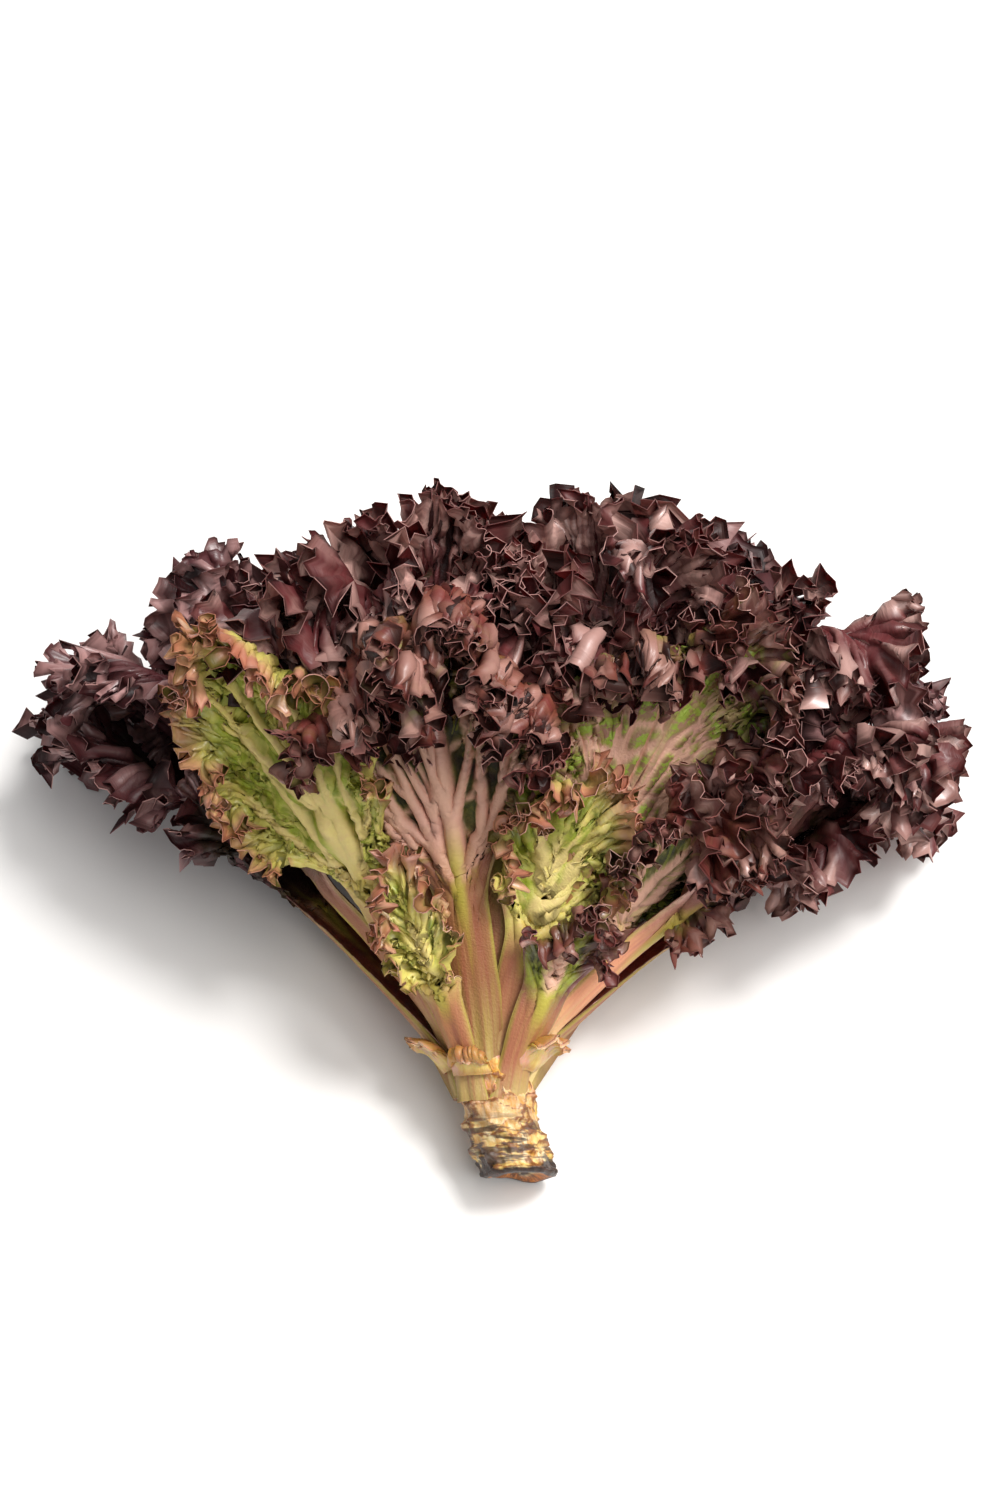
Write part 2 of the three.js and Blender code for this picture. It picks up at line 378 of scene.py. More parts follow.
def net_field(leaf, a, s, random):
    """Borders of the long cells between the ribs, from 0 to 1."""
    focus = NET_FOCUS * leaf.length
    spread = np.arctan2(a, np.maximum(s - focus, 1e-3))
    reach = np.hypot(a, s - focus)
    long, wide = leaf.cell
    nearest = np.full(a.shape, 1e9)
    second = np.full(a.shape, 1e9)
    for radius in np.arange(0.06 * leaf.length, 0.85 * leaf.length, long * 0.9):
        across = max(3, round(2 * NET_SPAN * radius / wide))
        for heading in (np.arange(across) + random.uniform(0, 1)) / across * 2 * NET_SPAN - NET_SPAN:
            heading += random.uniform(-0.3, 0.3) * 2 * NET_SPAN / across
            r = radius + random.uniform(-0.35, 0.35) * long
            near = (np.abs(reach - r) < 2.5 * long) & (np.abs(spread - heading) * r < 3 * wide)
            d = np.hypot((reach[near] - r) / long, (spread[near] - heading) * r / wide)
            was, next_was = nearest[near], second[near]
            second[near] = np.where(d < was, was, np.minimum(next_was, d))
            nearest[near] = np.minimum(was, d)
    return np.exp(-(((second - nearest) / leaf.net_width) ** 2)) * smoothstep(4, 14, reach)


# ---- The leaf's surface ----
SUNK_BASE = 1.6  # how far a leaf's foot is sunk into the stem
BASE_BLEND = 7.0
# Layers of noise: size one way, size the other way, weight, salt
CRINKLES = [(4.5, 5, 1.0, 6), (2.6, 3, 0.6, 7)]
BLISTERS = [(7, 9, 1.0, 13), (3.6, 5, 0.6, 14)]
STUB_BUMPS = [(2.0, 9, 0.25, 1), (4, 4, 0.3, 2)]
TOOTH_REACH = 9  # how far from the margin a tooth moves the leaf
LEAN_SHARE = 0.6  # how much of its height a tooth leans out of the leaf
CUFF_VARIES = 0.3
NARROW_CUFF = 0.5  # the cuff's size on the leaf's sides, as a share of that at its tip
FADE_OF_FRILL = 0.6  # power by which frills fade towards the stalk
SKIN = 0.12  # half the thickness of the blade at its margin
SKIN_GAIN = 0.1  # and what it gains inwards


def outward_sign(p, normal):
    """1 if the grid's normals point away from the stem's axis, and -1 if they point to it."""
    radial = p - CROWN
    radial -= ALONG * (radial @ ALONG)[..., None]
    return np.sign((normal * radial).sum())


def smooth_leaf(leaf, a, s):
    """The leaf before its frills, and the sign that makes its grid's normals point outwards."""
    length = leaf.length
    turn = math.radians(leaf.turn)
    radius, _ = profile(leaf.nest, turn, s)
    swing = MAX_WRAP * np.tanh(a / (radius * MAX_WRAP))
    below = leaf.drop * smoothstep(22, 0, s) ** 2
    p = place(leaf.nest, turn + swing, np.maximum(s - below, 0))
    p = p + ALONG * np.minimum(s - below, 0)[..., None]
    normal = grid_normals(p)
    sign = outward_sign(p, normal)
    slow = noise(a / 34, s / 40, leaf.seed + 1) * 3.0 * smoothstep(0.25, 0.6, s / length)
    slow = slow - SUNK_BASE * smoothstep(BASE_BLEND, 0, s)
    return p + normal * (sign * slow)[..., None], sign


def bent(p, lean, bend):
    """The grid with each step from row to row turned towards lean by the angle bend halfway up it."""
    gap = np.linalg.norm(np.diff(p, axis=0), axis=-1)
    middle = (bend[1:] + bend[:-1]) / 2
    move = unit(np.diff(p, axis=0)) * (gap * (np.cos(middle) - 1))[..., None]
    move = move + lean * (gap * np.sin(middle))[..., None]
    return p + np.concatenate([np.zeros((1, *p.shape[1:])), np.cumsum(move, 0)])


def roll_margin(leaf, p, sign, d, frilly, at, broad):
    """Rolls the margin outwards, some stretches of it far over and others hardly at all."""
    x = at / leaf.roll_gap
    swing = noise(x, 3, leaf.seed + 4) + 0.5 * noise(x * 2.3, 8, leaf.seed)
    angle = np.radians(leaf.roll + leaf.roll_swing * swing)
    cuff, turned = leaf.cuff
    size = NARROW_CUFF + (1 - NARROW_CUFF) * broad
    centre = cuff * (1 + CUFF_VARIES * noise(at / 13, 5, leaf.seed + 12)) * size
    half = turned / 2 * size
    bend = angle * frilly**2 * smoothstep(centre + half, np.maximum(centre - half, 0), d)
    normal = grid_normals(p) * sign
    return bent(p, (normal[1:] + normal[:-1]) / 2, bend)


def frill_margin(leaf, p, sign, d, frilly, at, inwards, broad):
    """Ruffles of three sizes, each measured along the margin that the last one has lengthened."""
    wobble = WOBBLE * noise(at[None, :] / WOBBLE_SIZE[0], d / WOBBLE_SIZE[1], leaf.seed + 2)
    for wavelength, depth, band, power, salt in leaf.ruffles:
        wavelength = wavelength * leaf.frill_size
        band = band * leaf.frill_band * broad
        step = np.linalg.norm(along_columns(p[-1:]), axis=-1)[0]
        arc = np.cumsum(step)
        pace = 1 + UNEVEN * noise(arc / (1.7 * wavelength), 0, leaf.seed + salt)
        phase = np.cumsum(pace * step) * 2 * math.pi / wavelength + wobble
        uneven = 1 + UNEVEN * noise(arc / (1.3 * wavelength), 7, leaf.seed + salt + 1)
        omega = depth * uneven * frilly**FADE_OF_FRILL * np.clip(1 - d / band, 0, 1) ** power
        omega = np.minimum(omega, MOST_OMEGA) * smoothstep(0.02, 0.3, inwards)
        p = ruffle(p, sign, phase, wavelength / (2 * math.pi * pace), omega)
    return p


def leaf_surface(leaf):
    """The leaf's middle surface, its outward normals, thickness and masks, on its grid."""
    random = np.random.default_rng(leaf.seed)
    edge, spine, at = flat_grid(leaf)
    out = np.concatenate([[0], np.cumsum(row_gaps(leaf))])
    v = (out / out[-1])[:, None]
    a = v * edge[:, 0]
    s = spine + v * (edge[:, 1] - spine)
    d = (1 - v) * np.hypot(edge[:, 0], edge[:, 1] - spine)
    length = leaf.length
    along = s / length
    reach = edge[:, 1] / length
    frilly = smoothstep(leaf.bare, leaf.bare + 0.2, reach)
    broad = leaf.side_band + (1 - leaf.side_band) * smoothstep(0.65, 0.95, reach)

    p, sign = smooth_leaf(leaf, a, s)
    p = roll_margin(leaf, p, sign, d, frilly, at, broad)
    even, even_normal = p, grid_normals(p) * sign
    p = frill_margin(leaf, p, sign, d, frilly, at, v, broad)

    # Crinkles, then teeth and lobes that carry the margin on outwards.
    arc = np.cumsum(np.linalg.norm(along_columns(p[-1:]), axis=-1)[0])
    crinkle = layered(arc, d, leaf.seed, CRINKLES)
    normal = grid_normals(p) * sign
    p = p + normal * (leaf.crinkle * crinkle * frilly * smoothstep(40, 8, d))[..., None]
    # How far each point stands above or below the unruffled surface; the material paints shade in the
    # hollows and a highlight on the crests from it.
    lift = soften(((p - even) * even_normal).sum(-1), 3)
    tooth, tooth_lean = teeth(arc, leaf.tooth_gap, 1.5, random)
    lobe, lobe_lean = teeth(arc, leaf.lobe_gap, 0.8, random)
    stretch = (tooth * leaf.tooth + (lobe - 0.4) * leaf.lobe) * frilly**FADE_OF_FRILL
    lean = tooth_lean * leaf.tooth * LEAN_SHARE + lobe_lean * leaf.lobe * LEAN_SHARE
    flick = lean * frilly**FADE_OF_FRILL
    near = smoothstep(TOOTH_REACH, 0, d)
    outward = unit(soften(unit(p[-1:] - p[-4:-3]), 2))
    p = p + outward * (near * stretch)[..., None] + normal[-1:] * (near**2 * flick)[..., None]

    # Ribs stand proud on the outside, and the cells between them are sunk.
    ribs, rib_widths = rib_field(leaf, a, s, random)
    net = net_field(leaf, a, s, random)
    blade = smoothstep(0.16, 0.36, along)
    frill_width = leaf.rib_end * leaf.frill_band * broad
    calm = 0.15 + 0.85 * smoothstep(0.1, 1, d / frill_width)
    midrib_width = leaf.midrib * 1.5 * (1 - 0.6 * smoothstep(0.2, 0.75, along))
    midrib = np.exp(-((a / midrib_width) ** 2)) * (1 - smoothstep(0.6, 0.85, along))
    net = net * leaf.net * (1 - midrib)
    veins = np.maximum(np.maximum(ribs, midrib), 0.8 * net)
    height = leaf.relief * rib_widths * ribs + leaf.sink * (np.maximum(veins, 0.25) - 1)
    height = height + 0.3 * leaf.relief * net
    blister = layered(a, s, leaf.seed, BLISTERS)
    height = height + leaf.blister * blister * (1 - ribs)
    normal = grid_normals(p) * sign
    p = p + normal * (height * blade * calm)[..., None]

    normal = grid_normals(p) * sign
    fleshy = 1 - smoothstep(0.15, 0.6, along)
    wide = np.maximum(half_width(leaf, along / (1 - EDGE_DROP)), 1)
    across = np.clip(np.abs(a) / wide, 0, 1)
    round_stalk = fleshy * np.sqrt(np.maximum(1 - across**2, 0))
    grooves = noise(a / 2.2, s / 60, leaf.seed + 9) * 0.35 * fleshy * smoothstep(1, 0.7, across)
    thick = leaf.thickness * (0.35 + 0.65 * smoothstep(0, 9, s))
    skin = SKIN + SKIN_GAIN * smoothstep(0, 8, d)
    outer = skin + thick * round_stalk + 0.8 * midrib * (1 - fleshy) + grooves * (1 - 0.5 * blade)
    inner = skin + 0.6 * thick * round_stalk + 0.3 * midrib
    # Where the cells between the ribs sink; on all but fresh leaves the material paints shade there.
    pocket = (1 - np.clip(np.maximum(veins, 1.2 * net), 0, 1)) * blade * smoothstep(0.2, 1, d / frill_width)
    masks = {
        "vein": np.clip(np.maximum(np.maximum(ribs, net), midrib), 0, 1),
        "pocket": pocket,
        "midrib": midrib,
        "rim": np.exp(-np.maximum(d + 1 - 0.6 * stretch * near, 0) / 9.0),
        "tip": along,
        "across": across,
    }
    return p, normal, np.maximum(outer, skin), inner, masks, lift, np.stack([a, s], -1)


# ---- Meshes ----
# A quad turned over, still split along the same diagonal, so that the two sides of a thin leaf don't cross
SAME_DIAGONAL = [0, 3, 2, 1]


def leaf_rows(leaf):
    """Each row's number and column step: fine in the frill, coarse by the midrib."""
    out = np.cumsum([0] + row_gaps(leaf))
    steps = [1 + sum(distance > limit for limit in leaf.coarser) for distance in out[-1] - out]
    return [(index, 2 ** (step - 1)) for index, step in enumerate(steps)]


def side_faces(rows, columns):
    """Picked grid points, vertex numbers of each row, and the faces of one side of a leaf."""
    picks, numbers, total = [], [], 0
    for index, step in rows:
        js = np.arange(0, columns, step)
        order = np.arange(len(js))
        if index == 0:  # the rows of both halves share the midrib's points
            order = np.minimum(order, len(js) - 1 - order)
            js = js[: order.max() + 1]
        numbers.append(total + order)
        picks.append(np.stack([np.full(len(js), index), js], -1))
        total += len(js)
    quads, triangles = [], []
    for low, high in zip(numbers[:-1], numbers[1:]):
        if len(low) == len(high):
            quads.append(np.stack([low[:-1], low[1:], high[1:], high[:-1]], -1))
        else:
            first, middle, last = high[:-2:2], high[1:-1:2], high[2::2]
            triangles.append(np.stack([low[:-1], middle, first], -1))
            triangles.append(np.stack([low[:-1], low[1:], middle], -1))
            triangles.append(np.stack([low[1:], last, middle], -1))
    return np.concatenate(picks), numbers, np.concatenate(quads), np.concatenate(triangles)


def close_shell(quads, loop, count):
    """Adds the other side's quads, count points further on, and then the walls round the loop."""
    walls = np.stack([loop[:-1], loop[:-1] + count, loop[1:] + count, loop[1:]], -1)
    return np.concatenate([quads, quads[:, SAME_DIAGONAL] + count, walls])


def settle(points):
    """Keeps points just above the table, softly."""
    points[:, 2] = FLOOR_LIFT + FLOOR_REST * softplus((points[:, 2] - FLOOR_LIFT) / FLOOR_REST)
    return points


def signed_volume(points, quads):
    a, b, c, d = (points[quads[:, k]] for k in range(4))
    return (np.cross(b - a, c - a) * a).sum() + (np.cross(c - a, d - a) * a).sum()


def make_mesh(name, points, quads, triangles, attributes, flat, walls=0):
    """A mesh object in metres, with its faces turned outwards and its masks as attributes."""
    if signed_volume(points, quads) < 0:
        quads, triangles = quads[:, ::-1], triangles[:, ::-1]
    mesh = bpy.data.meshes.new(name)
    mesh.vertices.add(len(points))
    mesh.vertices.foreach_set("co", (points * MM).astype(np.float32).ravel())
    loops = np.concatenate([quads.ravel(), triangles.ravel()]).astype(np.int32)
    mesh.loops.add(len(loops))
    mesh.loops.foreach_set("vertex_index", loops)
    starts = np.concatenate([
        np.arange(len(quads)) * 4,
        len(quads) * 4 + np.arange(len(triangles)) * 3,
    ]).astype(np.int32)
    mesh.polygons.add(len(starts))
    mesh.polygons.foreach_set("loop_start", starts)
    smooth = np.ones(len(starts), bool)
    smooth[len(quads) - walls : len(quads)] = False
    mesh.polygons.foreach_set("use_smooth", smooth)
    mesh.update(calc_edges=True)
    for key, values in attributes.items():
        mesh.attributes.new(key, "FLOAT", "POINT").data.foreach_set("value", values.astype(np.float32))
    mesh.attributes.new("edge", "FLOAT", "FACE").data.foreach_set("value", (~smooth).astype(np.float32))
    flat = np.concatenate([flat, np.zeros((len(flat), 1))], 1).astype(np.float32)
    mesh.attributes.new("flat", "FLOAT_VECTOR", "POINT").data.foreach_set("vector", flat.ravel())
    piece = bpy.data.objects.new(name + "_look", mesh)
    bpy.context.scene.collection.objects.link(piece)
    return piece


def build_leaf(leaf):
    p, normal, outer, inner, masks, lift, flat = leaf_surface(leaf)
    picks, numbers, quads, triangles = side_faces(leaf_rows(leaf), p.shape[1])
    i, j = picks[:, 0], picks[:, 1]
    outside = p[i, j] + normal[i, j] * outer[i, j, None]
    inside = p[i, j] - normal[i, j] * inner[i, j, None]
    count = len(picks)
    left = np.array([row[0] for row in numbers])
    right = np.array([row[-1] for row in numbers])
    loop = np.concatenate([left, numbers[-1][1:], right[::-1][1:]])
    quads = close_shell(quads, loop, count)
    triangles = np.concatenate([triangles, triangles[:, ::-1] + count])
    points = settle(np.concatenate([outside, inside]))
    attributes = {
        name: np.tile(np.broadcast_to(mask, p.shape[:2])[i, j], 2) for name, mask in masks.items()
    }
    # The ruffles' height, which the material turns into painted shade in hollows and a painted highlight on
    # crests.
    attributes["lift"] = np.concatenate([lift[i, j], -lift[i, j]])
    attributes["outside"] = np.repeat([1.0, 0.0], count)
    attributes["chance"] = np.full(2 * count, scatter(leaf.seed, 1, 5))
    for name in ("flush", "pale", "fresh"):
        attributes[name] = np.full(2 * count, getattr(leaf, name))
    flat = np.tile(flat[i, j], (2, 1))
    return make_mesh(leaf.name, points, quads, triangles, attributes, flat, len(loop) - 1)


# ---- The torn leaf bases ----
STUB_COLUMNS, STUB_ROWS = 41, 29
STUB_THICKNESS = 1.7
STUB_SKIN = 0.25
# name, turn, nest, length, half width, curl in degrees, seed
STUBS = [
    ("torn_leaf_base_middle", -27, 1.1, 16, 5.5, 230, 40),
    ("torn_leaf_base_left", -80, 1.05, 17, 5, 45, 41),
    ("torn_leaf_base_right", 58, 1.05, 17, 6, 70, 42),
]


def build_torn_base(name, turn, nest, length, half, curl, seed):
    """What is left of a pulled-off leaf: a thick stub with a ragged top edge that curls out."""
    across = np.linspace(-1, 1, STUB_COLUMNS)
    up = np.linspace(0, 1, STUB_ROWS)[:, None]
    ragged = 1 - 0.3 * np.abs(noise(across * 4.3, 1, seed)) - 0.16 * np.abs(noise(across * 13, 4, seed))
    s = up * length * ragged * (1 - 0.25 * np.abs(across) ** 3)
    narrowing = 1 - 0.25 * up
    a = np.broadcast_to(across * half * 1.15 * narrowing, s.shape)
    radius, _ = profile(nest, math.radians(turn), s)
    p = place(nest, math.radians(turn) + MAX_WRAP * np.tanh(a / (radius * MAX_WRAP)), s)
    normal = grid_normals(p)
    sign = outward_sign(p, normal)
    bend = math.radians(curl) * smoothstep(0.35, 1.0, up) * (1 + 0.35 * noise(across * 3, 2, seed))
    p = bent(p, normal[1:] * sign, bend)
    normal = grid_normals(p) * sign
    bumps = layered(a, s, seed, STUB_BUMPS)
    thin = 1 - 0.75 * smoothstep(0.55, 1, up)
    body = STUB_THICKNESS * np.sqrt(np.maximum(1 - across**2, 0.0)) * thin
    outer, inner = STUB_SKIN + body + bumps * thin, STUB_SKIN + 0.5 * body
    rows, columns = p.shape[:2]
    number = np.arange(rows * columns).reshape(rows, columns)
    quads = np.stack([number[:-1, :-1], number[:-1, 1:], number[1:, 1:], number[1:, :-1]], -1)
    count = rows * columns
    loop = np.concatenate([
        number[:, 0], number[-1, 1:], number[::-1, -1][1:], number[0, ::-1][1:],
    ])
    quads = close_shell(quads.reshape(-1, 4), loop, count)
    points = np.concatenate([
        (p + normal * outer[..., None]).reshape(-1, 3),
        (p - normal * inner[..., None]).reshape(-1, 3),
    ])
    edge = np.maximum(smoothstep(0.75, 1, up), smoothstep(0.75, 1, np.abs(across)))
    attributes = {
        "rim": np.tile(np.broadcast_to(smoothstep(0.86, 1, up), s.shape).ravel(), 2),
        "tip": np.tile(np.broadcast_to(up, s.shape).ravel(), 2),
        "scar": np.tile((edge * (0.6 + 0.4 * noise(a / 3, s / 3, seed + 3))).ravel(), 2),
        "outside": np.repeat([1.0, 0.0], count),
    }
    flat = np.tile(np.stack([a, s], -1).reshape(-1, 2), (2, 1))
    none = np.zeros((0, 3), int)
    return make_mesh(name, settle(points), quads, none, attributes, flat)


# ---- The stem ----
STEM_COLUMNS = 96
# Scars of pulled-off leaves: direction round the stem, distance below the crown, width, height
SCARS = [
    (-35, 7, 9, 5.5), (38, 9, 8, 5), (-4, 15, 10, 6), (75, 15, 8, 5.5), (-78, 13, 8, 5),
    (30, 21, 8, 4.5), (-42, 22, 9, 5), (-110, 20, 9, 5), (120, 20, 9, 5), (0, 27, 8, 3.5),
    (62, 27, 8, 4), (-70, 28, 8, 4), (175, 12, 9, 5), (-150, 25, 9, 4), (150, 27, 8, 4),
]
# Radius and height of the hollowed cut above the stem's end, and of the growing point above the leaves
CUT_OUTLINE = [(0.0, 1.8), (3.0, 1.7), (6.0, 1.2), (8.2, 0.5), (9.4, 0.1), (10.5, 0.4)]
TIP_OUTLINE = [(3.6, 2.5), (1.8, 4.4), (0.0, STEM_TOP)]


def build_stem():
    """A stump with ringed leaf scars and a browned, hollowed cut; its top is the growing point."""
    around = np.linspace(0, 2 * math.pi, STEM_COLUMNS + 1)[:-1]
    outline = [(r, h - STEM_TAIL) for r, h in CUT_OUTLINE]
    outline += [(STEM_RADIUS, h) for h in np.arange(-STEM_TAIL + 1.2, 0.1, 0.6)]
    outline += [(STEM_RADIUS - STEM_TAPER * h, h) for h in np.arange(2.0, ATTACH_HEIGHT, 3.0)]
    outline += [(r, h + ATTACH_HEIGHT) for r, h in TIP_OUTLINE]
    outline = np.array(outline)
    base, h = outline[:, :1], outline[:, 1:]
    below = np.maximum(-h, 0) / STEM_TAIL
    turn = around[None, :]
    degrees = (np.degrees(turn) + 180) % 360 - 180  # the seam is underneath
    sidewall = smoothstep(6, 10, base) * smoothstep(4, -2, h)
    on_cut = smoothstep(-STEM_TAIL + 2.2, -STEM_TAIL + 0.6, h) * smoothstep(10.8, 9.2, base)
    rings = 0.45 * noise(degrees / 26, h / 2.4, 61) + 0.3 * noise(degrees / 9, h / 1.3, 62)
    fibres = 0.22 * noise(degrees / 4.5, h / 9, 63)
    radius = base + (rings + fibres) * sidewall
    scar = np.zeros_like(radius)
    torn = np.zeros_like(radius)
    for number, (heading, depth, wide, tall) in enumerate(SCARS):
        apart = (degrees - heading + 540) % 360 - 180
        x = apart / math.degrees(1) * STEM_RADIUS / wide
        y = (h + depth) / tall
        away = np.hypot(x, y + 0.35 * x**2) + 0.18 * noise(degrees / 7, h / 2, 70 + number)
        inside = smoothstep(1.0, 0.8, away)
        lip = np.exp(-(((away - 1.0) / 0.16) ** 2))
        radius = radius + sidewall * (0.6 * lip - 0.9 * inside)
        scar = np.maximum(scar, lip)
        torn = np.maximum(torn, inside * (0.55 + 0.45 * scatter(number, 3, 9)))
    lift = on_cut * (0.35 * noise(degrees / 20, base / 1.6, 64) + 0.4 * noise(degrees / 60, base / 3, 65))
    height = h + lift + 0.7 * noise(degrees / 40, 0, 66) * smoothstep(-STEM_TAIL + 6, -STEM_TAIL, h)
    radius = np.maximum(radius * (1 + 0.05 * np.cos(2 * turn + 0.7) * sidewall), 0)
    aside = radius * np.sin(turn) + STEM_BEND * below**1.5
    p = by_axis(height + 0 * radius, radius * np.cos(turn), aside)
    rows, columns = radius.shape
    points = np.concatenate([p[0, :1], p[1:-1].reshape(-1, 3), p[-1, :1]])
    ring = np.arange(columns)
    after = (ring + 1) % columns
    start = 1 + columns * np.arange(rows - 3)[:, None]
    quads = np.stack([start + ring, start + after, start + columns + after, start + columns + ring], -1)
    last = 1 + columns * (rows - 3)
    top = len(points) - 1
    foot_fan = np.stack([np.zeros(columns, int), after + 1, ring + 1], -1)
    top_fan = np.stack([np.full(columns, top), last + ring, last + after], -1)

    def pick(values):
        values = np.broadcast_to(values, radius.shape)
        return np.concatenate([values[0, :1], values[1:-1].ravel(), values[-1, :1]])

    char = smoothstep(-STEM_TAIL + 5.5, -STEM_TAIL + 1.5, h + 2.2 * noise(degrees / 28, 0, 67))
    attributes = {
        "scar": pick(scar * sidewall),
        "torn": pick(torn * sidewall),
        "cut": pick(on_cut),
        "char": pick(char * (1 - smoothstep(9.8, 8.6, base) * on_cut)),
        "foot": pick(-h / STEM_TAIL),
    }
    flat = np.stack([pick(degrees / 360 * 2 * math.pi * STEM_RADIUS), pick(h)], -1)
    quads = quads.reshape(-1, 4)
    triangles = np.concatenate([foot_fan, top_fan])
    return make_mesh("stem", settle(points), quads, triangles, attributes, flat)


# ---- Materials ----
def colour(code):
    """A colour socket's value from an sRGB code such as c08f80."""
    parts = [int(code[k : k + 2], 16) / 255 for k in (0, 2, 4)]
    return tuple(x / 12.92 if x <= 0.04045 else ((x + 0.055) / 1.055) ** 2.4 for x in parts) + (1.0,)


class Tree:
    """Short calls for building a node material. A colour is given as its sRGB code."""

    def __init__(self, name):
        self.material = bpy.data.materials.new(name)
        self.material.use_nodes = True
        self.nodes = self.material.node_tree.nodes
        self.links = self.material.node_tree.links
        self.nodes.clear()

    def add(self, kind, inputs=None, **settings):
        node = self.nodes.new("ShaderNode" + kind)
        for key, value in settings.items():
            setattr(node, key, value)
        for key, value in (inputs or {}).items():
            if isinstance(value, bpy.types.NodeSocket):
                self.links.new(value, node.inputs[key])
            else:
                node.inputs[key].default_value = colour(value) if isinstance(value, str) else value
        return node

    def mask(self, name):
        return self.add("Attribute", attribute_name=name).outputs["Fac"]

    def math(self, operation, a, b):
        return self.add("Math", {0: a, 1: b}, operation=operation).outputs[0]

    def times(self, a, b):
        return self.math("MULTIPLY", a, b)

    def plus(self, a, b):
        return self.math("ADD", a, b)

    def ramp(self, value, low, high):
        """0 at low to 1 at high, smoothly."""
        inputs = {"Value": value, "From Min": low, "From Max": high}
        return self.add("MapRange", inputs, interpolation_type="SMOOTHSTEP").outputs["Result"]

    def mix(self, factor, a, b):
        return self.add("Mix", {0: factor, 6: a, 7: b}, data_type="RGBA").outputs[2]

    def over(self, skin, paint, share, value, low, high):
        """Lays paint over the skin, from none where the value is low to a share where it is high."""
        return self.mix(self.times(self.ramp(value, low, high), share), skin, paint)

    def noise(self, vector, scale, detail=2.0, roughness=0.5):
        inputs = {"Vector": vector, "Scale": scale, "Detail": detail, "Roughness": roughness}
        return self.add("TexNoise", inputs).outputs["Fac"]

    def stretched(self, vector, x, y):
        return self.add("VectorMath", {0: vector, 1: (x, y, 1.0)}, operation="MULTIPLY").outputs["Vector"]

    def bump(self, height, strength, distance):
        inputs = {"Strength": strength, "Distance": distance, "Height": height}
        return self.add("Bump", inputs).outputs["Normal"]

    def finish(self, surface):
        out = self.add("OutputMaterial")
        self.links.new(surface, out.inputs["Surface"])
        return self.material


# Colours by kind: blade (dark and red ones darkened as painted gap shade), flushed blade, frill (also the
# painted highlight on the ruffles' crests), inner face of the frill, ribs, light through it, painted shade
# in the ruffles' hollows
KINDS = {
    "dark": ("30281e", "603238", "cc9c98", "4e1c22", "644240", "dc1a1e", "1c080a"),
    "red": ("302214", "784246", "e4b6aa", "642226", "8c6050", "e62c2c", "240b0c"),
    "bronze": ("9ea63a", "7a4644", "c49688", "742a2c", "e4b09c", "b03030", "240e0c"),
    "green": ("e0d472", "d6a878", "e0a08c", "b86c58", "dcc08c", "e4e444", "54501a"),
}
# The two colours of the sunken cells between the ribs; for the bronze and green kinds they are darkened
# below the blade as painted shade in the pockets
SUNKEN_CELL_COLOURS_AND_SHADE = {
    "dark": ("30161a", "2e2416"),
    "red": ("3e1e20", "3c3018"),
    "bronze": ("1c150a", "28300e"),
    "green": ("7c8a24", "93a22c"),
}
# How strongly the ribs' colour shows
RIB_SHOW = {"dark": 0.3, "red": 0.4, "bronze": 0.9, "green": 0.5}
# How strongly unflushed patches show
PATCHES = {"dark": 0.4, "red": 0.4, "bronze": 0.7, "green": 0.5}
# Where each kind's flush starts, on the scale of the reach below
FLUSH_START = {"dark": -0.25, "red": -0.1, "bronze": 0.1, "green": 0.66}


